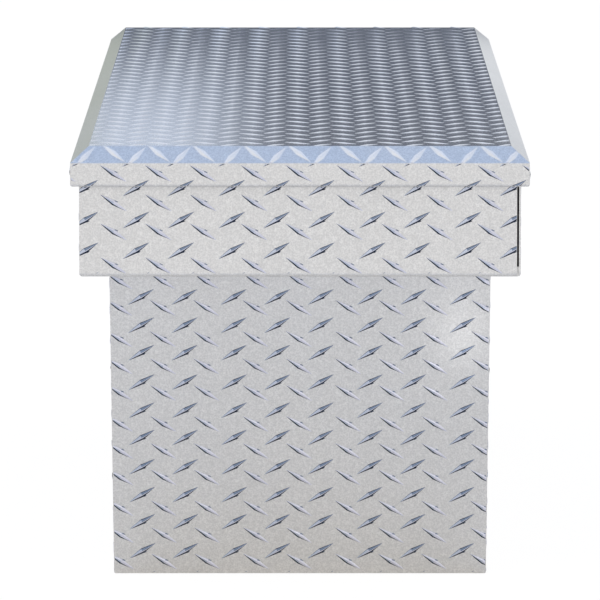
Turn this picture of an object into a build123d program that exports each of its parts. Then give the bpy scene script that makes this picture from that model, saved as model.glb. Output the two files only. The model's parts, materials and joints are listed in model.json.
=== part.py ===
from build123d import *

import os
from math import atan2, degrees, hypot

# Crossover tool box for a pickup bed, in millimetres.
#
# The box spans the bed from rail to rail. Its long axis is Y, its hinge side is -X and its
# latch side is +X. The origin is the middle of the bin's underside and +Z is up. "near" parts
# are at the -Y end and "far" parts at the +Y end. A narrow bin hangs between the rails, two
# wings above it rest on them, and one bevelled lid covers the whole length.

# Driving dimensions
LENGTH, WIDTH, HEIGHT = 1778.0, 508.0, 505.0  # over the lid, and from floor to lid top
SHEET = 2.0  # tread plate without its raised bars
ENDS = (("near", -1), ("far", 1))

# Lid
LID_X, LID_Y = WIDTH / 2, LENGTH / 2
BEVEL_IN, BEVEL_DROP = 20.0, 17.4
SKIRT_BOTTOM = HEIGHT - 43.6
PAN_BOTTOM, PAN_SHEET = 484.0, 1.5
HEM_ROUND = 3.0
RIB_PITCH, RIB_WIDTH, RIB_SHEET = 340.0, 44.0, 1.5
REAR_SKIRT_CUT = 3.2  # the hinge side's skirt is this much shorter, so that it clears the leaf

# Upper tray, which the wings belong to
TRAY_X, TRAY_Y = 244.5, 879.0
TRAY_BOTTOM = HEIGHT - 144.6
RIM_TOP = 476.0
RIM_WIDTH = 22.0
TRAY_BEND = 4.0
SEAM_GAP = 2.2  # open corner between each end panel and the front panel
SEAM_TAB = 9.0  # height of the tab that closes the foot of that corner

# Bin
BIN_X_TOP, BIN_X_FOOT = 214.5, 211.6
BIN_Y_TOP, BIN_Y_FOOT = 755.0, 690.0
BIN_BEND = 1.8  # outside radius of the two long edges at the foot

# Holes for the hook bolts that clamp the wings to the bed rails
BOLT_Y, BOLT_SPACING, BOLT_HOLE_R = 800.0, 320.0, 5.0

# Piano hinge
HINGE_X, HINGE_Z = -248.2, 466.0
KNUCKLE_R, PIN_R, PIN_PLAY = 3.1, 1.5, 0.06
KNUCKLE_LENGTH, KNUCKLE_COUNT, KNUCKLE_GAP = 50.0, 33, 0.3
LEAF = 1.0
LEAF_FOOT, LEAF_HEAD = 440.0, 482.0

# Gas struts, one in each wing
STRUT_Y = 838.0
STRUT_FOOT = (-200.0, 400.0)  # X and Z of the pivot on the end panel
STRUT_HEAD = (25.0, 468.0)  # X and Z of the pivot on the lid, with the lid shut
CYLINDER_R, CYLINDER_BORE, ROD_R = 9.0, 7.6, 4.0
EYE_R, EYE_THICK, STUD_R = 9.0, 10.0, 4.0
CYLINDER_FROM, CYLINDER_TO, ROD_FROM = 8.0, 222.0, 108.0

# Paddle latches and the shaft that they turn
LATCH_Y, LATCH_Z = 660.0, 412.0
FLANGE_Y, FLANGE_Z, FLANGE = 118.0, 84.0, 2.2
CUP_Y, CUP_Z, CUP_DEPTH, CUP_WALL = 98.0, 62.0, 24.0, 1.5
PADDLE_Y, PADDLE_Z, PADDLE = 88.0, 50.0, 3.0
PIVOT_X, PIVOT_Z, PIVOT_R = 240.0, 433.0, 2.0
LOCK_Z, LOCK_R = 401.0, 6.0
SHAFT_X, SHAFT_Z, SHAFT_R = 188.0, 426.0, 5.0
HOOK_Y, HOOK_THICK = 590.0, 5.0
STRIKER_X, STRIKER_Z, STRIKER_R = 172.5, 446.0, 3.0
FIT = 0.06  # radial clearance of a running fit


def block(x0, x1, y0, y1, z0, z1):
    """A box between two corners, which may be given in either order."""
    size = (abs(x1 - x0), abs(y1 - y0), abs(z1 - z0))
    return Pos((x0 + x1) / 2, (y0 + y1) / 2, (z0 + z1) / 2) * Box(*size)


def rod_y(radius, y0, y1, x, z):
    """A round bar along Y."""
    return Pos(x, (y0 + y1) / 2, z) * Rot(90, 0, 0) * Cylinder(radius, abs(y1 - y0))


def rod_x(radius, x0, x1, y, z):
    """A round bar along X."""
    return Pos((x0 + x1) / 2, y, z) * Rot(0, 90, 0) * Cylinder(radius, abs(x1 - x0))


def frustum(x_foot, y_foot, x_head, y_head, z0, z1):
    """A solid between two centred rectangles, given by their half sizes."""
    foot = Pos(0, 0, z0) * Rectangle(2 * x_foot, 2 * y_foot)
    head = Pos(0, 0, z1) * Rectangle(2 * x_head, 2 * y_head)
    return loft([foot, head])


def rounded_foot(half_x, half_y, z0, z1, radius):
    """A centred block whose four bottom edges are rounded."""
    body = block(-half_x, half_x, -half_y, half_y, z0, z1)
    bottom = body.faces().sort_by(Axis.Z)[0]
    return fillet(bottom.edges(), radius)


def save(shape, name):
    """Write one node's STEP file."""
    export_step(shape, f"parts/{name}.step")


def group(pieces):
    """Several separate solids that share one node."""
    return Compound(children=list(pieces))


# ---- Bin ---------------------------------------------------------------------------------


def bin_hull(trim_x=0.0, trim_y=0.0):
    """The bin's outside, trimmed on each side; its ends slope in and its sides taper.

    The long edges at the foot are bent, and stay sharp where the hull is the hollow inside.
    """
    hull = frustum(
        BIN_X_FOOT - trim_x,
        BIN_Y_FOOT - trim_y,
        BIN_X_TOP - trim_x,
        BIN_Y_TOP - trim_y,
        0,
        TRAY_BOTTOM + SHEET,
    )
    if trim_x:
        return hull
    long_edges = hull.edges().filter_by(Axis.Y).sort_by(Axis.Z)[:2]
    return fillet(long_edges, BIN_BEND)


def make_bin():
    """Floor, two long walls and two sloping end walls, welded along their edges."""
    behind_ends = bin_hull(trim_y=SHEET)
    between_walls = bin_hull(trim_x=SHEET, trim_y=SHEET)
    for solid in (bin_hull() - behind_ends).solids():
        end = "near" if solid.center().Y < 0 else "far"
        save(solid, f"bin_end_wall_{end}")
    for solid in (behind_ends - between_walls).solids():
        side = "rear" if solid.center().X < 0 else "front"
        save(solid, f"bin_{side}_wall")
    slab = block(-WIDTH, WIDTH, -LENGTH, LENGTH, 0, SHEET)
    save(between_walls & slab, "bin_floor")


# ---- Upper tray --------------------------------------------------------------------------


def tray_shell():
    """The tray's bent sheet before it is divided into panels."""
    outside = rounded_foot(TRAY_X, TRAY_Y, TRAY_BOTTOM, RIM_TOP - SHEET, TRAY_BEND)
    inner_x, inner_y = TRAY_X - SHEET, TRAY_Y - SHEET
    inner_top = RIM_TOP + SHEET
    inside = rounded_foot(
        inner_x, inner_y, TRAY_BOTTOM + SHEET, inner_top, TRAY_BEND - SHEET
    )
    mouth = block(-BIN_X_TOP, BIN_X_TOP, -BIN_Y_TOP, BIN_Y_TOP, 0, HEIGHT)
    return outside - inside - mouth


def make_tray():
    """End panels, side panels, wing floors, side ledges and the inward rim."""
    shell = tray_shell()
    bend_x, bend_y = TRAY_X - TRAY_BEND, TRAY_Y - TRAY_BEND
    seam_x = TRAY_X - SHEET
    ledge_y = BIN_Y_TOP
    top = RIM_TOP - SHEET

    front = block(seam_x, TRAY_X, -TRAY_Y, TRAY_Y, 0, top)
    opening = latch_openings()
    save((shell & front) - opening, "front_panel")
    rear = block(-TRAY_X, -bend_x, -bend_y, bend_y, 0, top)
    save(shell & rear, "rear_panel")

    for end, way in ENDS:
        outer = way * TRAY_Y
        panel = shell & block(
            -TRAY_X, seam_x - SEAM_GAP, way * bend_y, outer, 0, top
        )
        save(panel, f"end_panel_{end}")
        floor = shell & block(
            -bend_x, seam_x, way * ledge_y, way * bend_y, 0, TRAY_BOTTOM + SHEET
        )
        tab = block(
            seam_x - 4 * SEAM_GAP,
            seam_x,
            way * (TRAY_Y - 3 * SHEET),
            way * (TRAY_Y - 2 * SHEET),
            TRAY_BOTTOM + SHEET,
            TRAY_BOTTOM + SHEET + SEAM_TAB,
        )
        for side in (-1, 1):
            hole = Pos(side * BOLT_SPACING / 2, way * BOLT_Y, TRAY_BOTTOM)
            floor -= hole * Cylinder(BOLT_HOLE_R, 4 * SHEET)
        save(floor + tab, f"wing_floor_{end}")

        rim = block(
            RIM_WIDTH - TRAY_X,
            TRAY_X - RIM_WIDTH,
            way * (TRAY_Y - RIM_WIDTH),
            outer,
            top,
            RIM_TOP,
        )
        save(rim, f"rim_end_{end}")

    ledge_low = block(-bend_x, -BIN_X_TOP, -ledge_y, ledge_y, 0, top)
    ledge_high = block(BIN_X_TOP, seam_x, -ledge_y, ledge_y, 0, top)
    save(shell & ledge_low, "rear_ledge")
    save(shell & ledge_high, "front_ledge")
    for side, way in (("rear", -1), ("front", 1)):
        edge = way * TRAY_X
        rim = block(edge, way * (TRAY_X - RIM_WIDTH), -TRAY_Y, TRAY_Y, top, RIM_TOP)
        save(rim, f"rim_{side}")


def make_seal():
    """A bulb seal that runs right round the rim under the lid's pan."""
    bulb, height, inset = 12.0, 7.6, 6.0
    outer_x, outer_y = TRAY_X - inset, TRAY_Y - inset
    loop = block(-outer_x, outer_x, -outer_y, outer_y, RIM_TOP, RIM_TOP + height)
    top_edges = loop.faces().sort_by(Axis.Z)[-1].edges()
    loop = fillet(top_edges, height / 2)
    hole_x, hole_y = outer_x - bulb, outer_y - bulb
    hole = block(-hole_x, hole_x, -hole_y, hole_y, RIM_TOP - 1, RIM_TOP + height + 1)
    save(loop - hole, "rim_seal")


# ---- Lid ---------------------------------------------------------------------------------


def lid_solid(trim):
    """The lid's outside moved in by trim on every side but the bottom."""
    half_x, half_y = LID_X - trim, LID_Y - trim
    crease = HEIGHT - BEVEL_DROP - trim * 0.4
    skirt = rounded_foot(half_x, half_y, SKIRT_BOTTOM, crease, HEM_ROUND)
    bevel = frustum(
        half_x,
        half_y,
        LID_X - BEVEL_IN - trim * 0.4,
        LID_Y - BEVEL_IN - trim * 0.4,
        crease,
        HEIGHT - trim,
    )
    return skirt + bevel


def make_lid():
    """Tread plate cover, cross ribs and the smooth pan that closes it from below."""
    half_x, half_y = LID_X - SHEET, LID_Y - SHEET
    skirt_inside = block(
        -half_x, half_x, -half_y, half_y, SKIRT_BOTTOM - 1, HEIGHT - BEVEL_DROP - 1
    )
    inside = lid_solid(SHEET) + skirt_inside
    relief_y = TRAY_Y - RIM_WIDTH
    relief = block(
        -LID_X - 1,
        -half_x,
        -relief_y,
        relief_y,
        SKIRT_BOTTOM - 1,
        SKIRT_BOTTOM + REAR_SKIRT_CUT,
    )
    save(lid_solid(0) - inside - relief, "lid_cover")

    gap = 1.4  # leaves room beside the pan for the hinge leaf
    pan_x, pan_y = half_x - gap, half_y - gap
    pan_top = PAN_BOTTOM + PAN_SHEET
    save(block(-pan_x, pan_x, -pan_y, pan_y, PAN_BOTTOM, pan_top), "lid_pan")
    reach = LID_X - BEVEL_IN - SHEET
    ribs = []
    for index in range(-2, 3):
        y = index * RIB_PITCH
        half = RIB_WIDTH / 2
        top = HEIGHT - SHEET
        rib = block(-reach, reach, y - half, y + half, pan_top, top)
        inner = half - RIB_SHEET
        rib -= block(
            -reach, reach, y - inner, y + inner, pan_top - 1, top - RIB_SHEET
        )
        ribs.append(rib)
    save(group(ribs), "lid_ribs")

    strikers = []
    for _, way in ENDS:
        y = way * HOOK_Y
        half_gap = 14.0
        bar = rod_y(STRIKER_R, y - half_gap, y + half_gap, STRIKER_X, STRIKER_Z)
        for leg_y in (y - half_gap, y + half_gap):
            leg = Pos(STRIKER_X, leg_y, (STRIKER_Z + PAN_BOTTOM) / 2)
            bar += leg * Cylinder(STRIKER_R, PAN_BOTTOM - STRIKER_Z)
            bar += Pos(STRIKER_X, leg_y, STRIKER_Z) * Sphere(STRIKER_R)
        foot = block(
            STRIKER_X - 12, STRIKER_X + 12, y - 26, y + 26, PAN_BOTTOM - 2, PAN_BOTTOM
        )
        strikers.append(bar + foot)
    save(group(strikers), "lid_strikers")


# ---- Hinge -------------------------------------------------------------------------------


def leaf(sign, plate, web):
    """One leaf: its plate plus every second knuckle, each with a bore for the pin."""
    solid = plate
    start = -KNUCKLE_COUNT * KNUCKLE_LENGTH / 2
    for index in range(KNUCKLE_COUNT):
        if index % 2 != sign:
            continue
        y0 = start + index * KNUCKLE_LENGTH + KNUCKLE_GAP / 2
        y1 = y0 + KNUCKLE_LENGTH - KNUCKLE_GAP
        solid += rod_y(KNUCKLE_R, y0, y1, HINGE_X, HINGE_Z)
        solid += block(web[0], web[1], y0, y1, web[2], web[3])
    reach = KNUCKLE_COUNT * KNUCKLE_LENGTH
    return solid - rod_y(PIN_R + PIN_PLAY, -reach, reach, HINGE_X, HINGE_Z)


def make_hinge():
    """A full length piano hinge between the rear panel and the lid's rear skirt."""
    half = KNUCKLE_COUNT * KNUCKLE_LENGTH / 2
    body_x = -TRAY_X
    lid_x = -LID_X + SHEET
    body_top = HINGE_Z - KNUCKLE_R - 0.4
    lid_foot = HINGE_Z + KNUCKLE_R + 0.4
    body_plate = block(body_x - LEAF, body_x, -half, half, LEAF_FOOT, body_top)
    lid_plate = block(lid_x, lid_x + LEAF, -half, half, lid_foot, LEAF_HEAD)
    body_web = (body_x - LEAF, body_x, body_top - 1, HINGE_Z)
    lid_web = (lid_x, lid_x + LEAF, HINGE_Z, lid_foot + 1)
    save(leaf(0, body_plate, body_web), "hinge_leaf_body")
    save(leaf(1, lid_plate, lid_web), "hinge_leaf_lid")
    save(rod_y(PIN_R, -half, half, HINGE_X, HINGE_Z), "hinge_pin")

    rivets_body, rivets_lid = [], []
    for index in range(-8, 9):
        y = index * 2 * KNUCKLE_LENGTH
        face = body_x - LEAF
        rivets_body.append(rod_x(3.2, face - 1.2, face, y, LEAF_FOOT + 10))
        rivets_lid.append(rod_x(2.8, lid_x + LEAF, lid_x + LEAF + 1, y, LEAF_HEAD - 5))
    save(group(rivets_body), "hinge_rivets_body")
    save(group(rivets_lid), "hinge_rivets_lid")


# ---- Gas struts --------------------------------------------------------------------------


def along_strut(shape, distance, way):
    """Place a shape made along +Z on the strut's line, at a distance from its foot."""
    run = STRUT_HEAD[0] - STRUT_FOOT[0]
    rise = STRUT_HEAD[1] - STRUT_FOOT[1]
    tilt = degrees(atan2(run, rise))
    length = hypot(run, rise)
    x = STRUT_FOOT[0] + run / length * distance
    z = STRUT_FOOT[1] + rise / length * distance
    return Pos(x, way * STRUT_Y, z) * Rot(0, tilt, 0) * shape


def strut_bar(radius, start, stop, way):
    """A round bar on the strut's line."""
    return along_strut(Cylinder(radius, stop - start), (start + stop) / 2, way)


def make_strut(end, way):
    """Cylinder, rod and the two brackets that carry them."""
    closed = hypot(STRUT_HEAD[0] - STRUT_FOOT[0], STRUT_HEAD[1] - STRUT_FOOT[1])
    y0, y1 = way * STRUT_Y - EYE_THICK / 2, way * STRUT_Y + EYE_THICK / 2
    foot_x, foot_z = STRUT_FOOT
    head_x, head_z = STRUT_HEAD

    cylinder = strut_bar(CYLINDER_R, CYLINDER_FROM, CYLINDER_TO, way)
    cylinder += rod_y(EYE_R, y0, y1, foot_x, foot_z)
    cylinder -= strut_bar(CYLINDER_BORE, ROD_FROM - 6, CYLINDER_TO - 8, way)
    cylinder -= strut_bar(ROD_R + 2 * FIT, CYLINDER_TO - 9, CYLINDER_TO + 1, way)
    cylinder -= rod_y(STUD_R + FIT, y0 - 9, y1 + 9, foot_x, foot_z)
    save(cylinder, f"strut_cylinder_{end}")

    rod = strut_bar(ROD_R, ROD_FROM, closed - 4, way)
    rod += strut_bar(CYLINDER_BORE - 2 * FIT, ROD_FROM, ROD_FROM + 7, way)
    rod += rod_y(EYE_R, y0, y1, head_x, head_z)
    rod -= rod_y(STUD_R, y0 - 1, y1 + 1, head_x, head_z)
    save(rod, f"strut_rod_{end}")

    wall = way * (TRAY_Y - SHEET)
    plate = block(foot_x - 16, foot_x + 16, wall, wall - way * 3, foot_z - 24, foot_z + 24)
    inner = way * (STRUT_Y - EYE_THICK / 2 - 5)
    stud = rod_y(STUD_R, wall - way * 3, inner, foot_x, foot_z)
    cap_from = way * (STRUT_Y - EYE_THICK / 2 - 4.5)
    cap = rod_y(STUD_R + 2.5, cap_from, cap_from - way * 2, foot_x, foot_z)
    collar = rod_y(STUD_R + 3, wall - way * 3, way * (STRUT_Y + EYE_THICK), foot_x, foot_z)
    save(plate + stud + cap + collar, f"strut_mount_body_{end}")

    near_face = way * (STRUT_Y - CYLINDER_R - 2)
    far_face = way * (STRUT_Y - CYLINDER_R - 5)
    hanger = block(head_x - 14, head_x + 14, near_face, far_face, head_z - 10, PAN_BOTTOM)
    foot = block(
        head_x - 26, head_x + 26, near_face, far_face - way * 18, PAN_BOTTOM - 3, PAN_BOTTOM
    )
    boss = rod_y(5, near_face, way * (STRUT_Y - EYE_THICK / 2 - 0.5), head_x, head_z)
    save(hanger + foot + boss, f"strut_mount_lid_{end}")


# ---- Latches -----------------------------------------------------------------------------


def latch_openings():
    """The holes in the front panel that the latch cups pass through."""
    holes = []
    for _, way in ENDS:
        y, half_y, half_z = way * LATCH_Y, CUP_Y / 2, CUP_Z / 2
        holes.append(
            block(
                TRAY_X - 3 * SHEET,
                TRAY_X + SHEET,
                y - half_y,
                y + half_y,
                LATCH_Z - half_z,
                LATCH_Z + half_z,
            )
        )
    return group(holes)


def make_latch(end, way):
    """Housing, paddle, hinge pin and lock plug of one latch."""
    y = way * LATCH_Y
    face = TRAY_X
    flange = block(
        face,
        face + FLANGE,
        y - FLANGE_Y / 2,
        y + FLANGE_Y / 2,
        LATCH_Z - FLANGE_Z / 2,
        LATCH_Z + FLANGE_Z / 2,
    )
    flange = fillet(flange.edges().filter_by(Axis.X), 9)
    back = face - CUP_DEPTH
    cup = block(
        back, face, y - CUP_Y / 2, y + CUP_Y / 2, LATCH_Z - CUP_Z / 2, LATCH_Z + CUP_Z / 2
    )
    hollow_y, hollow_z = CUP_Y / 2 - CUP_WALL, CUP_Z / 2 - CUP_WALL
    hollow = block(
        back + CUP_WALL,
        face + 2 * FLANGE,
        y - hollow_y,
        y + hollow_y,
        LATCH_Z - hollow_z,
        LATCH_Z + hollow_z,
    )
    slot = block(back - 1, back + 2 * CUP_WALL, y - 8, y + 8, PIVOT_Z - 18, PIVOT_Z + 6)
    housing = flange + cup - hollow - slot
    housing -= rod_y(PIVOT_R, y - CUP_Y, y + CUP_Y, PIVOT_X, PIVOT_Z)
    save(housing, f"latch_housing_{end}")
    pin = rod_y(PIVOT_R, y - CUP_Y / 2, y + CUP_Y / 2, PIVOT_X, PIVOT_Z)
    save(pin, f"latch_pin_{end}")

    half = PADDLE_Y / 2
    top = PIVOT_Z + 5
    front = face + 1.0
    plate = block(front - PADDLE, front, y - half, y + half, top - PADDLE_Z, top)
    plate = fillet(plate.edges().filter_by(Axis.X), 5)
    lip = block(
        front - PADDLE, front + 3.5, y - half + 8, y + half - 8, top - PADDLE_Z, top - PADDLE_Z + 3
    )
    lip = fillet(lip.edges().filter_by(Axis.Y), 1.2)
    barrel = rod_y(4.4, y - half + 4, y + half - 4, PIVOT_X, PIVOT_Z)
    arm_tip = PIVOT_X - 30
    arm = block(arm_tip, PIVOT_X, y - 5, y + 5, PIVOT_Z - 2, PIVOT_Z + 3)
    boss = rod_x(LOCK_R + 3, front - PADDLE - 7, front, y, LOCK_Z)
    paddle = plate + lip + barrel + arm + boss
    paddle -= rod_y(PIVOT_R + FIT, y - CUP_Y, y + CUP_Y, PIVOT_X, PIVOT_Z)
    paddle -= rod_x(LOCK_R + FIT, front - 20, front + 2, y, LOCK_Z)
    save(paddle, f"latch_paddle_{end}")

    plug = rod_x(LOCK_R, front - PADDLE - 9, front + 1.2, y, LOCK_Z)
    keyway = block(front - 4, front + 2, y - 0.6, y + 0.6, LOCK_Z - 3.6, LOCK_Z + 3.6)
    save(plug - keyway, f"lock_plug_{end}")


def make_latch_shaft():
    """The shaft that both paddles turn, its levers and hooks, and its bearings."""
    reach = LATCH_Y + 25
    save(rod_y(SHAFT_R, -reach, reach, SHAFT_X, SHAFT_Z), "latch_shaft")
    for end, way in ENDS:
        y = way * LATCH_Y
        hub = rod_y(SHAFT_R + 4, y - 7, y + 7, SHAFT_X, SHAFT_Z)
        lever = block(SHAFT_X, SHAFT_X + 25, y - 6, y + 6, SHAFT_Z - 1, SHAFT_Z + 4.4)
        lever = hub + lever - rod_y(SHAFT_R, y - 9, y + 9, SHAFT_X, SHAFT_Z)
        save(lever, f"latch_lever_{end}")

        y = way * HOOK_Y
        y0, y1 = y - HOOK_THICK / 2, y + HOOK_THICK / 2
        nose_x = STRIKER_X + STRIKER_R + 1.0
        outline = [
            (SHAFT_X - 7, SHAFT_Z),
            (SHAFT_X + 7, SHAFT_Z),
            (SHAFT_X + 5, SHAFT_Z + 38),
            (SHAFT_X - 4, SHAFT_Z + 42),
            (nose_x, SHAFT_Z + 34),
            (nose_x, SHAFT_Z + 28),
            (SHAFT_X - 4, SHAFT_Z + 28),
        ]
        face = make_face(Polyline([(x, z) for x, z in outline], close=True))
        hook = Pos(0, y1, 0) * Rot(90, 0, 0) * extrude(face, HOOK_THICK)
        hook += rod_y(SHAFT_R + 4, y0 - 4, y1 + 4, SHAFT_X, SHAFT_Z)
        hook -= rod_y(SHAFT_R, y0 - 9, y1 + 9, SHAFT_X, SHAFT_Z)
        save(hook, f"latch_hook_{end}")

    bearings = []
    wall = TRAY_X - SHEET
    for y in (-520.0, 0.0, 520.0):
        arm = block(SHAFT_X - 10, wall, y - 3, y + 3, SHAFT_Z - 10, SHAFT_Z + 10)
        pad = block(wall - 3, wall, y - 22, y + 22, SHAFT_Z - 16, SHAFT_Z + 16)
        bore = rod_y(SHAFT_R + FIT, y - 9, y + 9, SHAFT_X, SHAFT_Z)
        bearings.append(arm + pad - bore)
    save(group(bearings), "latch_shaft_bearings")


def make_latch_screws():
    """Four button-headed screws on each latch flange."""
    heads = []
    face = TRAY_X + FLANGE
    for _, way in ENDS:
        for side_y in (-1, 1):
            for side_z in (-1, 1):
                y = way * LATCH_Y + side_y * (FLANGE_Y / 2 - 7)
                z = LATCH_Z + side_z * (FLANGE_Z / 2 - 7)
                head = rod_x(3.6, face, face + 1.8, y, z)
                heads.append(fillet(head.edges().sort_by(Axis.X)[-1], 1.2))
    save(group(heads), "latch_screws")


def main():
    """Write every node."""
    os.makedirs("parts", exist_ok=True)
    make_bin()
    make_tray()
    make_seal()
    make_lid()
    make_hinge()
    for end, way in ENDS:
        make_strut(end, way)
        make_latch(end, way)
    make_latch_shaft()
    make_latch_screws()


main()
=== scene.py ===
"""Looks for the crossover tool box: raised tread bars, weld beads, materials, light and camera.

The scene is in the shared frame, in metres. The near end faces -Y, the latch side faces +X.
"""

import json
import math

import bmesh
import bpy
from mathutils import Matrix, Vector


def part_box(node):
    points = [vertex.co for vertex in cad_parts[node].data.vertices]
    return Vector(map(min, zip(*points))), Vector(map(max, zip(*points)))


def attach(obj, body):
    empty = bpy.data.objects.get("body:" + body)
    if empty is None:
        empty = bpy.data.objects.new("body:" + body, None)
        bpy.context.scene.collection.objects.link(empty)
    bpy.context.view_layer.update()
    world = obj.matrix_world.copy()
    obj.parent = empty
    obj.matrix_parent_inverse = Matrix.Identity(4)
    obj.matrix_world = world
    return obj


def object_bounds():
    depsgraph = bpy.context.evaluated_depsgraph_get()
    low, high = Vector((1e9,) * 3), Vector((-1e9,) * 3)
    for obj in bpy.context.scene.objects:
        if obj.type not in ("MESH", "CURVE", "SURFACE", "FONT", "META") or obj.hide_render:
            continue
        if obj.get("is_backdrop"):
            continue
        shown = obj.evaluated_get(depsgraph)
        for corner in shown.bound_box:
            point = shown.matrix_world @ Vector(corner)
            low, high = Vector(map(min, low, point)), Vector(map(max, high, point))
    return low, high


MM = 0.001
UP = Vector((0, 0, 1))
SIDES = {"near": (0, -1, 0), "far": (0, 1, 0), "front": (1, 0, 0), "rear": (-1, 0, 0)}  # outward
SHEET = 2.0  # thickness of the tread plate, in millimetres

# The bars' kinds, and their tones in the order of the materials: two painted highlights and two
# tones of painted shade that stand in for the light on each flank, then one even tone for the
# lid's bars
RISING, FALLING = 0, 1
PAINTED_HIGHLIGHT, PAINTED_BLUE_HIGHLIGHT, PAINTED_DIM_SHADE, PAINTED_DARK_SHADE, TOP = range(5)
BAR_MATERIALS = ("bar_painted_highlight", "bar_painted_blue_highlight", "bar_painted_dim_shade", "bar_painted_dark_shade", "bar_top")

# The bars, in millimetres and degrees: length, width and height, and the angle from the rows
WALL_BAR, WALL_ANGLE = (36.5, 6.4, 1.3), 32.0
LOW_WALL_BAR = (36.5, 6.4, 0.8)  # on the long sides
TOP_BAR, TOP_ANGLE = (42.0, 5.0, 1.0), 44.0
BEVEL_BAR, BEVEL_ANGLE = (42.0, 8.0, 1.3), 50.0
TOP_SKEW = 4.0  # on the lid, rising bars stand steeper than falling ones
BAR_SINK = 0.12  # how deep a bar's foot sits in the sheet
BAR_STATIONS = 8
WALL_TAPER, SLIM_TAPER = (0.85, 0.55), (0.9, 0.95)  # powers that shape a bar's width and height

# The nib beside a wall bar's middle, in millimetres
NIB_LENGTH, NIB_WIDTH = 6.8, 2.3
NIB_HEIGHT, NIB_TURN = 0.95, 0.35  # as shares of the bar's height and angle
NIB_OUT, NIB_ASIDE = 1.8, 1.2  # from the bar's middle: across the bar, and to the right

# The tread's pattern, in millimetres: where a line starts and the steps from line to line
PATTERN_REACH = 40.0  # how far beyond a panel a bar's middle may lie
COLUMN_STEPS = (24.8, 24.8, 24.8, 24.8, 31.5)
ROW_STEPS = (16.6, 16.6, 21.1, 13.0, 19.3, 16.4)
COLUMN_START = -206.4  # a falling column, seen from the near end
END_ROW_START = 459.2  # height of a rising row on the tray
SKIRT_ROW_START = 459.8  # the same on the lid's skirt
BIN_ROW_START = -211.3  # the same on the sloping end of the bin, from its top edge
BIN_SCALE = 0.987, 0.975  # the bin ends' pattern is a little finer, across and up
TOP_COLUMN_START, TOP_COLUMN_PITCH = -208.5, 25.7
TOP_ROW_START, TOP_ROW_PITCH = 9.0, 26.6  # the start is from the near crease
BEVEL_ROW_START, BEVEL_ROW_GAP = 9.7, 6.0  # up the bevel from its foot

# Where the tread stops, in millimetres from an edge
BEVEL_INSET, BEVEL_DROP = 20.0, 17.4  # the lid's bevel, across and down
HEM = 0.8  # at the lid's creases
SKIRT_END_HEM, SKIRT_FOOT_HEM, SKIRT_HINGE_HEM = 1.0, 1.2, 4.4
TRAY_END_HEM, TRAY_SEAM_HEM, TRAY_BEND = 0.5, 0.4, 4.0
REAR_END_HEM, REAR_HINGE_HEM = 4.5, 1.0
TRAY_END_TOP, TRAY_FRONT_TOP = 472.0, 460.0  # heights that the lid's skirt covers
LATCH_MARGIN = 12.0
BIN_HEAD_HEM, BIN_FOOT_HEM = 1.0, 2.0
BIN_END_HEM = 1.0  # at the sides of the bin's ends
BIN_SIDE_HEMS = 3.0, 4.0  # at the ends of the bin's long walls, at the foot and the head

# Weld beads, in millimetres
BEAD_RADIUS, BEAD_PITCH, BEAD_SIDES = 2.6, 3.2, 8
BEAD_INSET = 0.9  # from the inner faces to the middle of a bead
BEAD_RINGS = ((0.0, 0.72), (0.6, 1.0))  # each scallop's rings: place along it and share of radius
MOUTH_BEAD = 0.7  # the bead round the bin's mouth is finer

# Bare metals: light and dark tone, roughness, scale of the grain and its stretch
METALS = {
    # The first four bar_ metals paint light onto the bars' flanks: painted highlights in pale
    # lilac and blue, painted shade in slate and near black
    "bar_painted_highlight": ((0.86, 0.87, 0.98), (0.7, 0.71, 0.82), (0.3, 0.42), 700.0, (1, 1, 1)),
    "bar_painted_blue_highlight": ((0.66, 0.72, 0.85), (0.52, 0.58, 0.7), (0.3, 0.42), 700.0, (1, 1, 1)),
    "bar_painted_dim_shade": ((0.27, 0.33, 0.45), (0.19, 0.25, 0.36), (0.26, 0.36), 600.0, (1, 1, 1)),
    "bar_painted_dark_shade": ((0.05, 0.065, 0.1), (0.025, 0.035, 0.06), (0.22, 0.32), 500.0, (1, 1, 1)),
    "bar_top": ((0.92, 0.93, 0.96), (0.82, 0.84, 0.88), (0.32, 0.42), 500.0, (1, 1, 1)),
    "smooth_sheet": ((0.82, 0.82, 0.82), (0.74, 0.74, 0.75), (0.3, 0.42), 300.0, (1, 12, 1)),
    "weld": ((0.8, 0.79, 0.77), (0.6, 0.6, 0.6), (0.3, 0.5), 900.0, (1, 1, 1)),
    "hinge_steel": ((0.66, 0.66, 0.67), (0.55, 0.55, 0.56), (0.28, 0.4), 400.0, (1, 1, 1)),
    "zinc_steel": ((0.66, 0.66, 0.64), (0.5, 0.51, 0.5), (0.32, 0.48), 240.0, (1, 1, 1)),
    "latch_steel": ((0.72, 0.72, 0.72), (0.6, 0.6, 0.61), (0.22, 0.34), 260.0, (1, 1, 14)),
    "lock_chrome": ((0.85, 0.86, 0.88), (0.78, 0.79, 0.82), (0.08, 0.16), 200.0, (1, 1, 1)),
    "rod_chrome": ((0.84, 0.85, 0.87), (0.78, 0.79, 0.82), (0.06, 0.14), 200.0, (1, 1, 1)),
}

# Paint and rubber: light and dark tone, and roughness
COATINGS = {
    "strut_black": ((0.025, 0.025, 0.028), (0.015, 0.015, 0.017), (0.3, 0.45)),
    "seal_rubber": ((0.035, 0.035, 0.036), (0.02, 0.02, 0.021), (0.6, 0.8)),
}

# The tread plate's ground: as above, and its roughness where it lies flat
TREAD_LIGHT, TREAD_DARK = (0.925, 0.917, 0.903), (0.755, 0.75, 0.74)
TREAD_ROUGH, TREAD_TOP_ROUGH = (0.4, 0.5), 0.2

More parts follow.
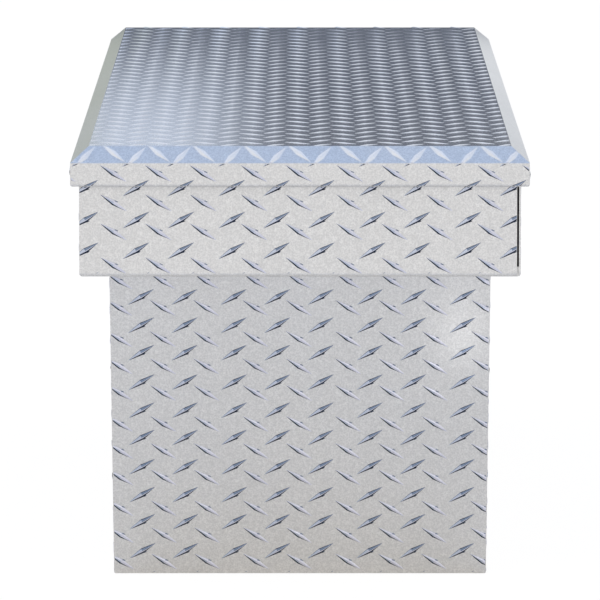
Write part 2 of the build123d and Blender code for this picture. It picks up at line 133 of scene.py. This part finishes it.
# The studio dome's colours by height, behind the box and ahead of it
ZENITH = (0.47, 0.6, 0.86)
DOME_BEHIND = (
    (0.0, (0.55, 0.57, 0.61)),
    (0.4, (0.5, 0.53, 0.58)),
    (0.6, (0.86, 0.9, 0.98)),
    (0.86, (0.86, 0.9, 0.98)),
    (0.94, ZENITH),
)
DOME_AHEAD = (
    (0.0, (1.26, 1.22, 1.165)),
    (0.14, (1.26, 1.22, 1.165)),
    (0.3, (0.76, 0.76, 0.76)),
    (0.6, (0.76, 0.76, 0.76)),
    (0.84, (0.98, 0.97, 0.95)),
    (0.94, ZENITH),
)

# The reflecting card: size and middle in metres, and its colours
CARD_SIZE, CARD_PLACE = (1.8, 0.5), (0.0, 1.15, 0.75)
CARD_SLATE, CARD_LOW_SLATE = (0.11, 0.127, 0.17), (0.145, 0.165, 0.21)
CARD_PATCH = (0.76, 0.86, 1.05)
CARD_LEFT, CARD_RIGHT = (0.4, 0.44, 0.38), (0.82, 0.85, 0.89)

# The floor: size in metres, colour, glow, and how much of the glow the camera sees
FLOOR_SIZE, FLOOR_COLOUR = (60.0, 60.0), (0.88, 0.86, 0.84)
FLOOR_GLOW, FLOOR_GLOW_SHARE = 1.05, 0.9

# The camera: focal length in millimetres, place in metres, and degrees below level
CAMERA_LENS, CAMERA_PLACE, CAMERA_DIP = 438.0, (0.0, -8.916, 1.245), 6.463


# ---- Bars --------------------------------------------------------------------------------


def lens(size, profile, tone_of, taper, turn, place=(0.0, 0.0), first=0):
    """A pointed lens that stands on z = 0: its points, and its faces with their tones.

    profile(t) lists the crown's points, from the +y side to the -y side, at t from -1 to 1 along
    the lens. Each is (across, up), in shares of the half width and the height there.
    tone_of(strip, t) is the tone of each strip between them: painted highlights and painted shade
    on the wall bars. The lens is turned and then moved to its place, and its points are numbered
    from first.
    """
    length, width, tall = size
    points = [(-length / 2, 0.0, -BAR_SINK)]
    along = [2 * index / BAR_STATIONS - 1 for index in range(1, BAR_STATIONS)]
    for t in along:
        half = width / 2 * (1 - abs(t)) ** taper[0]
        rise = tall * (1 - abs(t)) ** taper[1]
        x = t * length / 2
        points.append((x, half, -BAR_SINK))
        points += [(x, across * half, up * rise) for across, up in profile(t)]
        points.append((x, -half, -BAR_SINK))
    points.append((length / 2, 0.0, -BAR_SINK))
    faces = lens_faces(len(points) - 1, along, tone_of)
    c, s = math.cos(turn), math.sin(turn)
    moved = [(place[0] + x * c - y * s, place[1] + x * s + y * c, z) for x, y, z in points]
    return moved, [(tuple(first + k for k in corners), tone) for corners, tone in faces]


def lens_faces(last, along, tone_of):
    """The faces between a lens's stations and its two points, 0 and last."""
    wide = (last - 1) // len(along)
    strips = range(wide - 1)
    end = last - wide
    faces = []
    for strip in strips:
        faces.append(((0, 2 + strip, 1 + strip), tone_of(strip, -1.0)))
        faces.append(((end + strip, end + strip + 1, last), tone_of(strip, 1.0)))
    # The tips of every bar take the painted highlight tone.
    faces.append(((0, 1, wide), PAINTED_HIGHLIGHT))
    faces.append(((last - 1, end, last), PAINTED_HIGHLIGHT))
    for index, t in enumerate(along[:-1]):
        middle = t + 1 / BAR_STATIONS
        a = 1 + wide * index
        for strip in strips:
            b = a + strip
            faces.append(((b, b + 1, b + 1 + wide, b + wide), tone_of(strip, middle)))
        # The underside between the feet, in the painted highlight tone.
        faces.append(((a + wide - 1, a, a + wide, a + 2 * wide - 1), PAINTED_HIGHLIGHT))
    return faces


def slim_bar(size, angle, kind):
    """One bar of the lid's top: two flanks and a ridge, already turned to its angle."""
    way = 1 if kind == RISING else -1

    def profile(t):
        return [(0.1 * way + 0.35 * way * t, 1.0)]

    def tone_of(strip, t):
        return TOP

    return lens(size, profile, tone_of, SLIM_TAPER, math.radians(way * angle + TOP_SKEW))


def rising_profile(t):
    """The crown of a rising bar of the walls."""
    right = max(0.0, t)
    return [(0.8 - 0.15 * right, 0.6), (-0.35 * right, 1.0), (-0.32 - 0.3 * t, 0.7)]


def rising_painted_tones(strip, t):
    """Painted shade above at the right of a rising bar, painted highlights at its left, and
    painted shade below.
    """
    if t > 0.1:
        return (PAINTED_DARK_SHADE, PAINTED_DIM_SHADE, PAINTED_HIGHLIGHT, PAINTED_DARK_SHADE)[strip]
    return (PAINTED_DIM_SHADE, PAINTED_BLUE_HIGHLIGHT, PAINTED_HIGHLIGHT, PAINTED_DARK_SHADE)[strip]


def falling_profile(t):
    """The crown of a falling bar of the walls."""
    return [(0.88, 0.55), (0.3, 1.0), (-0.38 - 0.42 * t, 0.6)]


def falling_painted_tones(strip, t):
    """Bluer painted highlights at the left of a falling bar, and painted shade below."""
    # The bar's body is a painted highlight, bluer at the left.
    body = PAINTED_BLUE_HIGHLIGHT if t < -0.1 else PAINTED_HIGHLIGHT
    return (body, PAINTED_HIGHLIGHT, body, PAINTED_DARK_SHADE)[strip]


def wall_bar(size, angle, kind):
    """One bar of the walls: a crown, a thin edge above, a wider one below in painted shade, and
    its nib.
    """
    rising = kind == RISING
    way = 1 if rising else -1
    tilt = math.radians(way * angle)
    profile = rising_profile if rising else falling_profile
    points, faces = lens(size, profile, rising_painted_tones if rising else falling_painted_tones, WALL_TAPER, tilt)

    def nib_profile(t):
        return [(0.4, 1.0)]

    # The nib is painted shade: dim all over, with its second strip darker on a rising bar.
    def nib_painted_shade(strip, t):
        return PAINTED_DARK_SHADE if rising and strip else PAINTED_DIM_SHADE

    side = tilt - way * math.pi / 2
    place = (NIB_OUT * math.cos(side) + NIB_ASIDE, NIB_OUT * math.sin(side))
    nib_size = (NIB_LENGTH, NIB_WIDTH, NIB_HEIGHT * size[2])
    nib = lens(nib_size, nib_profile, nib_painted_shade, WALL_TAPER, NIB_TURN * tilt, place, len(points))
    return points + nib[0], faces + nib[1]


# ---- Panels of bars ----------------------------------------------------------------------


def stations(start, steps, low, high):
    """(place, parity) of every line of a repeating pattern between low and high."""
    found = []
    place, index = start, 0
    while place > low - PATTERN_REACH:
        index -= 1
        place -= steps[index % len(steps)]
    while place < high + PATTERN_REACH:
        found.append((place, index % 2))
        place += steps[index % len(steps)]
        index += 1
    return found


def rescale(start, steps, scale):
    """A repeating pattern made finer or coarser."""
    return start * scale, tuple(step * scale for step in steps)


def trapezium(half_low, half_high, low, high):
    """A clip outline whose left and right halves are alike, in millimetres."""
    return [(-half_low, low), (half_low, low), (half_high, high), (-half_high, high)]


def outer_face(side, reach, height=0.0, up=UP):
    """Origin, across and up of an outer face whose origin lies at a reach and a height."""
    out = Vector(SIDES[side])
    return out * reach * MM + UP * height * MM, UP.cross(out), up


class Panel:
    """A flat outer face covered in bars: its place, its clip outline and its pattern."""

    def __init__(self, name, body, place, outline, rows, **pattern):
        self.name, self.body = name, body
        self.origin, across, up = place
        self.across, self.up = Vector(across).normalized(), Vector(up).normalized()
        self.outline = outline
        self.rows = rows
        self.columns = pattern.get("columns", (COLUMN_START, COLUMN_STEPS))
        self.holes = pattern.get("holes", ())
        self.shape = pattern.get("shape", wall_bar)
        self.size = pattern.get("size", WALL_BAR)
        self.angle = pattern.get("angle", WALL_ANGLE)

    def in_hole(self, u, v):
        """True where a fitting covers the sheet."""
        return any(a < u < b and c < v < d for a, b, c, d in self.holes)

    def places(self):
        """Centre and kind of each bar that may touch the panel."""
        lows = [min(p[k] for p in self.outline) for k in (0, 1)]
        highs = [max(p[k] for p in self.outline) for k in (0, 1)]
        for v, row_parity in stations(*self.rows, lows[1], highs[1]):
            for u, column_parity in stations(*self.columns, lows[0], highs[0]):
                if row_parity != column_parity and not self.in_hole(u, v):
                    yield u, v, RISING if column_parity else FALLING

    def fill(self, mesh):
        """Add every bar to a flat mesh in the panel's own plane, in millimetres."""
        shapes = {kind: self.shape(self.size, self.angle, kind) for kind in (RISING, FALLING)}
        for u, v, kind in self.places():
            points, faces = shapes[kind]
            verts = [mesh.verts.new((u + x, v + y, z)) for x, y, z in points]
            for corners, tone in faces:
                made = mesh.faces.new([verts[k] for k in corners])
                # Each face takes the material of its tone: painted highlights and painted shade
                # on the wall bars, one even tone on the lid's bars.
                made.material_index = tone

    def trim(self, mesh):
        """Cut off what lies beyond the outline."""
        centre = sum((Vector((u, v, 0)) for u, v in self.outline), Vector()) / len(self.outline)
        for (u0, v0), (u1, v1) in zip(self.outline, self.outline[1:] + self.outline[:1]):
            corner = Vector((u0, v0, 0))
            outward = Vector((v1 - v0, u0 - u1, 0)).normalized()
            if outward.dot(centre - corner) > 0:
                outward.negate()
            cut(mesh, corner, outward)

    def build(self, materials):
        """One closed mesh of all the panel's bars, riding on its body."""
        mesh = bmesh.new()
        self.fill(mesh)
        self.trim(mesh)
        place = Matrix.Identity(4)
        for column, axis in enumerate((self.across, self.up, self.across.cross(self.up))):
            for row in range(3):
                place[row][column] = axis[row] * MM
        place.translation = self.origin
        finish_mesh(self.name, mesh, materials, self.body, place)


def cut(mesh, point, outward):
    """Cut every bar that crosses an edge and close the cut."""
    result = bmesh.ops.bisect_plane(
        mesh,
        geom=mesh.verts[:] + mesh.edges[:] + mesh.faces[:],
        dist=1e-4,
        plane_co=point,
        plane_no=outward,
        clear_outer=True,
    )
    rim = [e for e in result["geom_cut"] if isinstance(e, bmesh.types.BMEdge)]
    open_rim = [e for e in rim if e.is_valid and e.is_boundary]
    if open_rim:
        bmesh.ops.holes_fill(mesh, edges=open_rim, sides=0)


def finish_mesh(name, mesh, materials, body, place=Matrix.Identity(4)):
    """A finished piece that rides on one CAD body."""
    bmesh.ops.recalc_face_normals(mesh, faces=mesh.faces)
    mesh.transform(place)
    data = bpy.data.meshes.new(name)
    mesh.to_mesh(data)
    mesh.free()
    piece = bpy.data.objects.new(name, data)
    bpy.context.scene.collection.objects.link(piece)
    for material in materials:
        data.materials.append(material)
    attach(piece, body)
    return piece


def lid_top(half_x, half_y, top):
    """The lid's flat top, between the creases."""
    flat_x, flat_y = half_x - BEVEL_INSET, half_y - BEVEL_INSET
    return Panel(
        "tread_lid_top",
        "lid",
        (Vector((0, 0, top * MM)), (1, 0, 0), (0, 1, 0)),
        trapezium(flat_x - HEM, flat_x - HEM, HEM - flat_y, flat_y - HEM),
        (TOP_ROW_START - flat_y, (TOP_ROW_PITCH,)),
        columns=(TOP_COLUMN_START, (TOP_COLUMN_PITCH,)),
        shape=slim_bar,
        size=TOP_BAR,
        angle=TOP_ANGLE,
    )


def lid_bevel(side, half, reach, crease):
    """The bevel above one end of the lid."""
    up = Vector(SIDES[side]) * -BEVEL_INSET + UP * BEVEL_DROP
    slope = math.hypot(BEVEL_INSET, BEVEL_DROP)
    return Panel(
        f"tread_lid_bevel_{side}",
        "lid",
        outer_face(side, reach, crease, up),
        trapezium(half - HEM, half - BEVEL_INSET - HEM, HEM, slope - HEM),
        (BEVEL_ROW_START, (BEVEL_ROW_GAP, 2 * TOP_ROW_PITCH - BEVEL_ROW_GAP)),
        shape=slim_bar,
        size=BEVEL_BAR,
        angle=BEVEL_ANGLE,
    )


def lid_skirt(side, half, reach, foot, crease, size):
    """One side of the lid's skirt. The rear one also leaves room for the hinge."""
    bottom = foot + (SKIRT_HINGE_HEM if side == "rear" else SKIRT_FOOT_HEM)
    along = half - SKIRT_END_HEM
    outline = trapezium(along, along, bottom, crease - HEM)
    rows = (SKIRT_ROW_START, ROW_STEPS)
    place = outer_face(side, reach)
    return Panel(f"tread_lid_skirt_{side}", "lid", place, outline, rows, size=size)


def lid_panels():
    """Top, end bevels and skirts of the lid. Its long bevels are plain."""
    low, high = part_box("lid_cover")
    half_x, half_y, top = high.x / MM, high.y / MM, high.z / MM
    foot, crease = low.z / MM, top - BEVEL_DROP
    panels = [lid_top(half_x, half_y, top)]
    for side in ("near", "far"):
        panels.append(lid_bevel(side, half_x, half_y, crease))
        panels.append(lid_skirt(side, half_x, half_y, foot, crease, WALL_BAR))
    for side in ("front", "rear"):
        panels.append(lid_skirt(side, half_y, half_x, foot, crease, LOW_WALL_BAR))
    return panels


def tray_end_panels():
    """The two ends of the upper tray. Each stops at its corner seam."""
    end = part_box("end_panel_near")
    half_x, half_y = (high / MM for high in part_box("front_panel")[1].xy)
    foot, seam = end[0].z / MM + TRAY_BEND, end[1].x / MM - TRAY_SEAM_HEM
    corner = half_x - TRAY_END_HEM
    panels = []
    for side, left, right in (("near", -corner, seam), ("far", -seam, corner)):
        outline = [(left, foot), (right, foot), (right, TRAY_END_TOP), (left, TRAY_END_TOP)]
        place = outer_face(side, half_y)
        rows = (END_ROW_START, ROW_STEPS)
        panels.append(Panel(f"tread_end_panel_{side}", "box", place, outline, rows))
    return panels


def tray_side_panels():
    """The two long sides of the upper tray, clear of the latches and the hinge."""
    half_x, half_y = (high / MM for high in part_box("front_panel")[1].xy)
    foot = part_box("end_panel_near")[0].z / MM + TRAY_BEND
    hinge_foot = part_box("hinge_leaf_body")[0].z / MM
    latch_low, latch_high = (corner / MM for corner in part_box("latch_housing_far"))
    span = (latch_low.y - LATCH_MARGIN, latch_high.y + LATCH_MARGIN)
    heights = (latch_low.z - LATCH_MARGIN, latch_high.z + LATCH_MARGIN)
    holes = [(*span, *heights), (-span[1], -span[0], *heights)]
    front, rear = half_y - TRAY_END_HEM, half_y - REAR_END_HEM
    rows = (END_ROW_START, ROW_STEPS)
    return [
        Panel(
            "tread_front_panel",
            "box",
            outer_face("front", half_x),
            trapezium(front, front, foot, TRAY_FRONT_TOP),
            rows,
            holes=holes,
            size=LOW_WALL_BAR,
        ),
        Panel(
            "tread_rear_panel",
            "box",
            outer_face("rear", half_x),
            trapezium(rear, rear, foot, hinge_foot - REAR_HINGE_HEM),
            rows,
            size=LOW_WALL_BAR,
        ),
    ]


def bin_wall(name, side, reach, lean, height, halves, rows, **pattern):
    """One wall of the bin. It leans out by lean, from its foot to its head."""
    up = Vector(SIDES[side]) * lean + UP * height
    outline = trapezium(*halves, BIN_FOOT_HEM - up.length, -BIN_HEAD_HEM)
    return Panel(name, "box", outer_face(side, reach, height, up), outline, rows, **pattern)


def bin_panels():
    """The four outer walls of the bin, which narrow towards the foot."""
    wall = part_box("bin_end_wall_near")
    x_top, x_foot = wall[1].x / MM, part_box("bin_floor")[1].x / MM + SHEET
    y_top, y_foot = -wall[0].y / MM, SHEET - wall[1].y / MM
    height = wall[1].z / MM
    panels = []
    columns = rescale(COLUMN_START, COLUMN_STEPS, BIN_SCALE[0])
    rows = rescale(BIN_ROW_START, ROW_STEPS, BIN_SCALE[1])
    halves = (x_foot - BIN_END_HEM, x_top - BIN_END_HEM)
    for side in ("near", "far"):
        facts = (side, y_top, y_top - y_foot, height, halves, rows)
        panels.append(bin_wall(f"tread_bin_end_{side}", *facts, columns=columns))
    rows = (BIN_ROW_START, ROW_STEPS)
    halves = (y_foot - BIN_SIDE_HEMS[0], y_top - BIN_SIDE_HEMS[1])
    for side in ("front", "rear"):
        facts = (side, x_top, x_top - x_foot, height, halves, rows)
        panels.append(bin_wall(f"tread_bin_{side}", *facts, size=LOW_WALL_BAR))
    return panels


# ---- Welds -------------------------------------------------------------------------------


def bead(mesh, start, stop, radius):
    """A weld bead between two points: a row of scallops, as each puddle froze."""
    line = (stop - start).normalized()
    side = line.orthogonal().normalized()
    lift = line.cross(side)
    length = (stop - start).length
    count = max(2, round(length / (BEAD_PITCH * MM)))
    turns = [2 * math.pi * k / BEAD_SIDES for k in range(BEAD_SIDES)]
    scallops = [(index + share, size) for index in range(count) for share, size in BEAD_RINGS]
    scallops.append((count, BEAD_RINGS[0][1]))
    rings = []
    for place, size in scallops:
        centre = start + line * length * place / count
        wide = radius * MM * size
        ring = [centre + wide * (side * math.cos(t) + lift * math.sin(t)) for t in turns]
        rings.append([mesh.verts.new(point) for point in ring])
    for first, second in zip(rings, rings[1:]):
        for k in range(BEAD_SIDES):
            after = (k + 1) % BEAD_SIDES
            mesh.faces.new((first[k], first[after], second[after], second[k]))
    mesh.faces.new(rings[0][::-1])
    mesh.faces.new(rings[-1])


def weld_piece(name, lines, radius, material):
    """One piece from several beads."""
    mesh = bmesh.new()
    for start, stop in lines:
        bead(mesh, start, stop, radius)
    piece = finish_mesh(name, mesh, [material], "box")
    for polygon in piece.data.polygons:
        polygon.use_smooth = True


def loop(points):
    """The lines from each point to the next and back to the first."""
    return list(zip(points, points[1:] + points[:1]))


def make_bin_welds(material):
    """Beads inside the bin, round its floor and its mouth and up its corners."""
    inset = BEAD_INSET * MM
    edge = SHEET * MM + inset
    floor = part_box("bin_floor")[1]
    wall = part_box("bin_end_wall_near")
    foot = (floor.x - inset, -wall[1].y - inset, floor.z + inset)
    head = (wall[1].x - edge, -wall[0].y - edge, wall[1].z - edge)
    corners = [(1, 1), (-1, 1), (-1, -1), (1, -1)]
    feet = [Vector((foot[0] * a, foot[1] * b, foot[2])) for a, b in corners]
    heads = [Vector((head[0] * a, head[1] * b, head[2])) for a, b in corners]
    weld_piece("weld_bin_floor", loop(feet), BEAD_RADIUS, material)
    weld_piece("weld_bin_corners", list(zip(feet, heads)), BEAD_RADIUS, material)
    weld_piece("weld_bin_mouth", loop(heads), MOUTH_BEAD * BEAD_RADIUS, material)


def make_tray_welds(material):
    """Beads up the tray's two rear corners, on the inside."""
    edge = (SHEET + BEAD_INSET) * MM
    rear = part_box("rear_panel")
    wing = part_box("wing_floor_near")
    low, high = wing[0].z + 2 * SHEET * MM, rear[1].z - 2 * SHEET * MM
    x, y = rear[0].x + edge, -wing[0].y - edge
    uprights = [(Vector((x, y * way, low)), Vector((x, y * way, high))) for way in (-1, 1)]
    weld_piece("weld_tray_corners", uprights, BEAD_RADIUS, material)


# ---- Materials ---------------------------------------------------------------------------


def map_range(tree, value, source, target=(0.0, 1.0), smooth=False):
    """Map a value from one range to another."""
    node = tree.nodes.new("ShaderNodeMapRange")
    if smooth:
        node.interpolation_type = "SMOOTHSTEP"
    node.inputs["From Min"].default_value, node.inputs["From Max"].default_value = source
    node.inputs["To Min"].default_value, node.inputs["To Max"].default_value = target
    tree.links.new(value, node.inputs["Value"])
    return node.outputs["Result"]


def mix_colours(tree, factor, first, second):
    """Mix two colours by a value. Each is a plain colour or another node's output."""
    node = tree.nodes.new("ShaderNodeMix")
    node.data_type = "RGBA"
    for index, colour in ((6, first), (7, second)):
        if isinstance(colour, tuple):
            node.inputs[index].default_value = (*colour, 1)
        else:
            tree.links.new(colour, node.inputs[index])
    tree.links.new(factor, node.inputs[0])
    return node.outputs[2]


def mix_number(tree, factor, value, number):
    """Mix a value with a fixed number."""
    node = tree.nodes.new("ShaderNodeMix")
    tree.links.new(factor, node.inputs[0])
    tree.links.new(value, node.inputs[2])
    node.inputs[3].default_value = number
    return node.outputs[0]


def separate(tree, vector):
    """The X, Y and Z of a vector."""
    node = tree.nodes.new("ShaderNodeSeparateXYZ")
    tree.links.new(vector, node.inputs[0])
    return node.outputs


class Surface:
    """A material under construction: its shader, its noises and its links."""

    def __init__(self, name, metallic):
        self.material = bpy.data.materials.new(name)
        self.material.use_nodes = True
        self.tree = self.material.node_tree
        self.shader = self.tree.nodes["Principled BSDF"]
        self.shader.inputs["Metallic"].default_value = metallic
        self.coords = self.tree.nodes.new("ShaderNodeTexCoord").outputs

    def noise(self, scale, detail, stretch=(1, 1, 1)):
        """A noise value from 0 to 1, stretched along the axes."""
        mapping = self.tree.nodes.new("ShaderNodeMapping")
        mapping.inputs["Scale"].default_value = stretch
        self.tree.links.new(self.coords["Object"], mapping.inputs["Vector"])
        noise = self.tree.nodes.new("ShaderNodeTexNoise")
        noise.inputs["Scale"].default_value = scale
        noise.inputs["Detail"].default_value = detail
        self.tree.links.new(mapping.outputs["Vector"], noise.inputs["Vector"])
        return noise.outputs["Fac"]

    def spread(self, value, low, high, source=(0.3, 0.7)):
        """Spread a noise over a range."""
        return map_range(self.tree, value, source, (low, high))

    def blend(self, value, first, second):
        """Mix two colours by a value."""
        return mix_colours(self.tree, value, first, second)

    def link(self, value, socket):
        """Feed a value into one of the shader's sockets."""
        self.tree.links.new(value, self.shader.inputs[socket])

    def bump(self, height, strength, distance):
        """Feed a height into the shader's normal."""
        node = self.tree.nodes.new("ShaderNodeBump")
        node.inputs["Strength"].default_value = strength
        node.inputs["Distance"].default_value = distance
        self.tree.links.new(height, node.inputs["Height"])
        self.link(node.outputs["Normal"], "Normal")


def scaled(colour, share):
    """A colour made darker."""
    return tuple(share * part for part in colour)


def metal(name, light, dark, rough, grain, stretch):
    """A bare metal with fine grain, blotches in its tone and uneven polish."""
    made = Surface(name, 1.0)
    fine = made.noise(grain, detail=3.0, stretch=stretch)
    broad = made.noise(scale=14.0, detail=5.0)
    tone = made.blend(made.spread(fine, 0.0, 1.0), dark, light)
    blotched = made.blend(made.spread(broad, 0.0, 0.35), tone, scaled(dark, 0.93))
    made.link(blotched, "Base Color")
    made.link(made.spread(broad, *rough), "Roughness")
    made.bump(fine, strength=0.12, distance=0.0004)
    return made.material


def tread_metal():
    """Tread plate's flat ground: brushed on the walls and more polished where it lies flat."""
    made = Surface("tread_sheet", 1.0)
    fine = made.noise(scale=560.0, detail=3.0)
    broad = made.noise(scale=9.0, detail=5.0)
    speck = made.noise(scale=260.0, detail=2.0)
    tone = made.blend(made.spread(fine, 0.0, 1.0, (0.38, 0.62)), TREAD_DARK, TREAD_LIGHT)
    specked = made.blend(made.spread(speck, 0.0, 0.5), tone, scaled(TREAD_DARK, 0.9))
    made.link(specked, "Base Color")
    upward = made.spread(separate(made.tree, made.coords["Normal"])["Z"], 0.0, 1.0, (0.6, 0.95))
    rough = made.spread(broad, *TREAD_ROUGH)
    made.link(mix_number(made.tree, upward, rough, TREAD_TOP_ROUGH), "Roughness")
    made.bump(fine, strength=0.12, distance=0.0004)
    return made.material


def coating(name, light, dark, rough):
    """A paint or rubber with a faint texture."""
    made = Surface(name, 0.0)
    fine = made.noise(scale=300.0, detail=4.0)
    broad = made.noise(scale=25.0, detail=4.0)
    made.link(made.blend(made.spread(broad, 0.0, 1.0), dark, light), "Base Color")
    made.link(made.spread(fine, *rough), "Roughness")
    made.bump(fine, strength=0.1, distance=0.0003)
    return made.material


def make_materials():
    """Every material by name."""
    materials = {"tread_sheet": tread_metal()}
    for name, facts in METALS.items():
        materials[name] = metal(name, *facts)
    for name, facts in COATINGS.items():
        materials[name] = coating(name, *facts)
    return materials


def paint_nodes(frame, materials):
    """Give each CAD node the material of its record slot."""
    for row in frame["record"]["subparts"]:
        node = frame["nodes"][row["node"]]
        node.data.materials.clear()
        node.data.materials.append(materials[row["material_slot"]])


# ---- Stage -------------------------------------------------------------------------------


def make_camera():
    """A long lens that looks slightly down at the near end."""
    data = bpy.data.cameras.new("camera")
    data.lens = CAMERA_LENS
    data.sensor_width = 36.0
    data.clip_end = 100.0
    camera = bpy.data.objects.new("camera", data)
    bpy.context.scene.collection.objects.link(camera)
    camera.location = CAMERA_PLACE
    camera.rotation_euler = (math.radians(90 - CAMERA_DIP), 0.0, 0.0)
    bpy.context.scene.camera = camera


def make_plane(name, size, place, tilt, material):
    """A rectangle of the stage, tilted up from level."""
    data = bpy.data.meshes.new(name)
    x, y = size[0] / 2, size[1] / 2
    corners = [(-x, -y, 0), (x, -y, 0), (x, y, 0), (-x, y, 0)]
    data.from_pydata(corners, [], [(0, 1, 2, 3)])
    data.materials.append(material)
    plane = bpy.data.objects.new(name, data)
    bpy.context.scene.collection.objects.link(plane)
    plane.location = place
    plane.rotation_euler = (math.radians(tilt), 0.0, 0.0)
    plane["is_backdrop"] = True
    return plane


def make_floor():
    """A very pale floor. The camera sees it brighter than the box does, as a clean sweep."""
    material = bpy.data.materials.new("floor")
    material.use_nodes = True
    tree = material.node_tree
    shader = tree.nodes["Principled BSDF"]
    shader.inputs["Base Color"].default_value = (*FLOOR_COLOUR, 1)
    shader.inputs["Roughness"].default_value = 0.9
    shader.inputs["Specular IOR Level"].default_value = 0.0
    glow = tree.nodes.new("ShaderNodeEmission")
    glow.inputs["Strength"].default_value = FLOOR_GLOW
    path = tree.nodes.new("ShaderNodeLightPath")
    share = tree.nodes.new("ShaderNodeMath")
    share.operation = "MULTIPLY"
    share.inputs[1].default_value = FLOOR_GLOW_SHARE
    tree.links.new(path.outputs["Is Camera Ray"], share.inputs[0])
    mix = tree.nodes.new("ShaderNodeMixShader")
    tree.links.new(share.outputs[0], mix.inputs[0])
    tree.links.new(shader.outputs[0], mix.inputs[1])
    tree.links.new(glow.outputs[0], mix.inputs[2])
    tree.links.new(mix.outputs[0], tree.nodes["Material Output"].inputs["Surface"])
    make_plane("floor", FLOOR_SIZE, (0, 0, 0), 0, material)


def ramp(tree, value, stops):
    """A colour that follows a value through (place, colour) stops."""
    node = tree.nodes.new("ShaderNodeValToRGB")
    while len(node.color_ramp.elements) < len(stops):
        node.color_ramp.elements.new(0.5)
    for element, (place, colour) in zip(node.color_ramp.elements, stops):
        element.position = place
        element.color = (*colour, 1)
    tree.links.new(value, node.inputs[0])
    return node.outputs["Color"]


def make_world():
    """A studio dome: brightest low in front of the near end, and pale blue overhead."""
    world = bpy.data.worlds.new("world")
    bpy.context.scene.world = world
    world.use_nodes = True
    tree = world.node_tree
    toward = separate(tree, tree.nodes.new("ShaderNodeTexCoord").outputs["Generated"])
    behind = ramp(tree, toward["Z"], DOME_BEHIND)
    ahead = ramp(tree, toward["Z"], DOME_AHEAD)
    facing = map_range(tree, toward["Y"], (-0.3, 0.3))
    colour = mix_colours(tree, facing, ahead, behind)
    tree.links.new(colour, tree.nodes["Background"].inputs["Color"])


def card_colour(tree):
    """Sage at the left, near white at the right, and slate between with a pale patch."""
    place = separate(tree, tree.nodes.new("ShaderNodeTexCoord").outputs["Object"])
    across, height = place["X"], place["Y"]

    def step(value, start, stop):
        return map_range(tree, value, (start, stop), smooth=True)

    slate = mix_colours(tree, step(height, -0.1, -0.24), CARD_SLATE, CARD_LOW_SLATE)
    patch = tree.nodes.new("ShaderNodeMath")
    patch.operation = "MULTIPLY"
    tree.links.new(step(across, 0.0, -0.2), patch.inputs[0])
    tree.links.new(step(height, -0.15, 0.0), patch.inputs[1])
    colour = mix_colours(tree, patch.outputs[0], slate, CARD_PATCH)
    colour = mix_colours(tree, step(across, -0.28, -0.31), colour, CARD_LEFT)
    return mix_colours(tree, step(across, 0.3, 0.32), colour, CARD_RIGHT)


def make_reflector():
    """A glowing card behind the box that only reflections see, and only from its front."""
    material = bpy.data.materials.new("reflector")
    material.use_nodes = True
    tree = material.node_tree
    tree.nodes.clear()
    shine = tree.nodes.new("ShaderNodeEmission")
    clear = tree.nodes.new("ShaderNodeBsdfTransparent")
    geometry = tree.nodes.new("ShaderNodeNewGeometry")
    sides = tree.nodes.new("ShaderNodeMixShader")
    out = tree.nodes.new("ShaderNodeOutputMaterial")
    tree.links.new(card_colour(tree), shine.inputs["Color"])
    tree.links.new(geometry.outputs["Backfacing"], sides.inputs[0])
    tree.links.new(shine.outputs[0], sides.inputs[1])
    tree.links.new(clear.outputs[0], sides.inputs[2])
    tree.links.new(sides.outputs[0], out.inputs["Surface"])
    card = make_plane("reflector", CARD_SIZE, CARD_PLACE, 90, material)
    card.visible_camera = False
    card.visible_diffuse = False
    card.visible_shadow = False


def make_light(name, place, target, size, power, colour):
    """A soft rectangular lamp aimed at a point."""
    data = bpy.data.lights.new(name, "AREA")
    data.shape = "RECTANGLE"
    data.size, data.size_y = size
    data.energy = power
    data.color = colour
    lamp = bpy.data.objects.new(name, data)
    bpy.context.scene.collection.objects.link(lamp)
    lamp.location = place
    aim = Vector(target) - Vector(place)
    lamp.rotation_euler = aim.to_track_quat("-Z", "Y").to_euler()
    lamp.visible_camera = False
    return lamp


def make_lamps():
    """A broad key lamp, and a tiny one that glints on the bin's near end."""
    key = make_light(
        "key",
        place=(-1.6, -3.2, 3.0),
        target=(0, -0.6, 0.3),
        size=(2.0, 1.6),
        power=12,
        colour=(1, 0.99, 0.97),
    )
    key.visible_glossy = False
    make_light(
        "glint",
        place=(0.185, -0.825, 0.245),
        target=(0.183, -0.74, 0.285),
        size=(0.02, 0.06),
        power=0.004,
        colour=(1, 1, 1),
    )


def make_stage():
    """Floor, dome, card, lamps and the view settings."""
    make_floor()
    make_world()
    make_reflector()
    make_lamps()
    settings = bpy.context.scene.view_settings
    settings.view_transform = "Standard"
    settings.look = "None"


# ---- Build -------------------------------------------------------------------------------

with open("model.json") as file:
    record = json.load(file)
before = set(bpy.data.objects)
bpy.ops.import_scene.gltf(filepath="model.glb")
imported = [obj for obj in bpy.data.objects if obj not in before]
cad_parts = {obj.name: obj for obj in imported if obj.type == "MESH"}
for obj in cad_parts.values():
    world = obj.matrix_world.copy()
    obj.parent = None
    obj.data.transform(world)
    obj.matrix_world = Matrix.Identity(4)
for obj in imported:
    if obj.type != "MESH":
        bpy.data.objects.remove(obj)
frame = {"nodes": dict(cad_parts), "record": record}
cad_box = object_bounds()
materials = make_materials()
paint_nodes(frame, materials)
# The bars' materials, in tone order: painted highlights, painted shade and the lid's even tone.
bar_materials = [materials[name] for name in BAR_MATERIALS]
for panel in lid_panels() + tray_end_panels() + tray_side_panels() + bin_panels():
    panel.build(bar_materials)
make_bin_welds(materials["weld"])
make_tray_welds(materials["weld"])
make_stage()
make_camera()

boxes = {"cad": cad_box, "visual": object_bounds()}
{k: [list(corner) for corner in v] for k, v in boxes.items()}
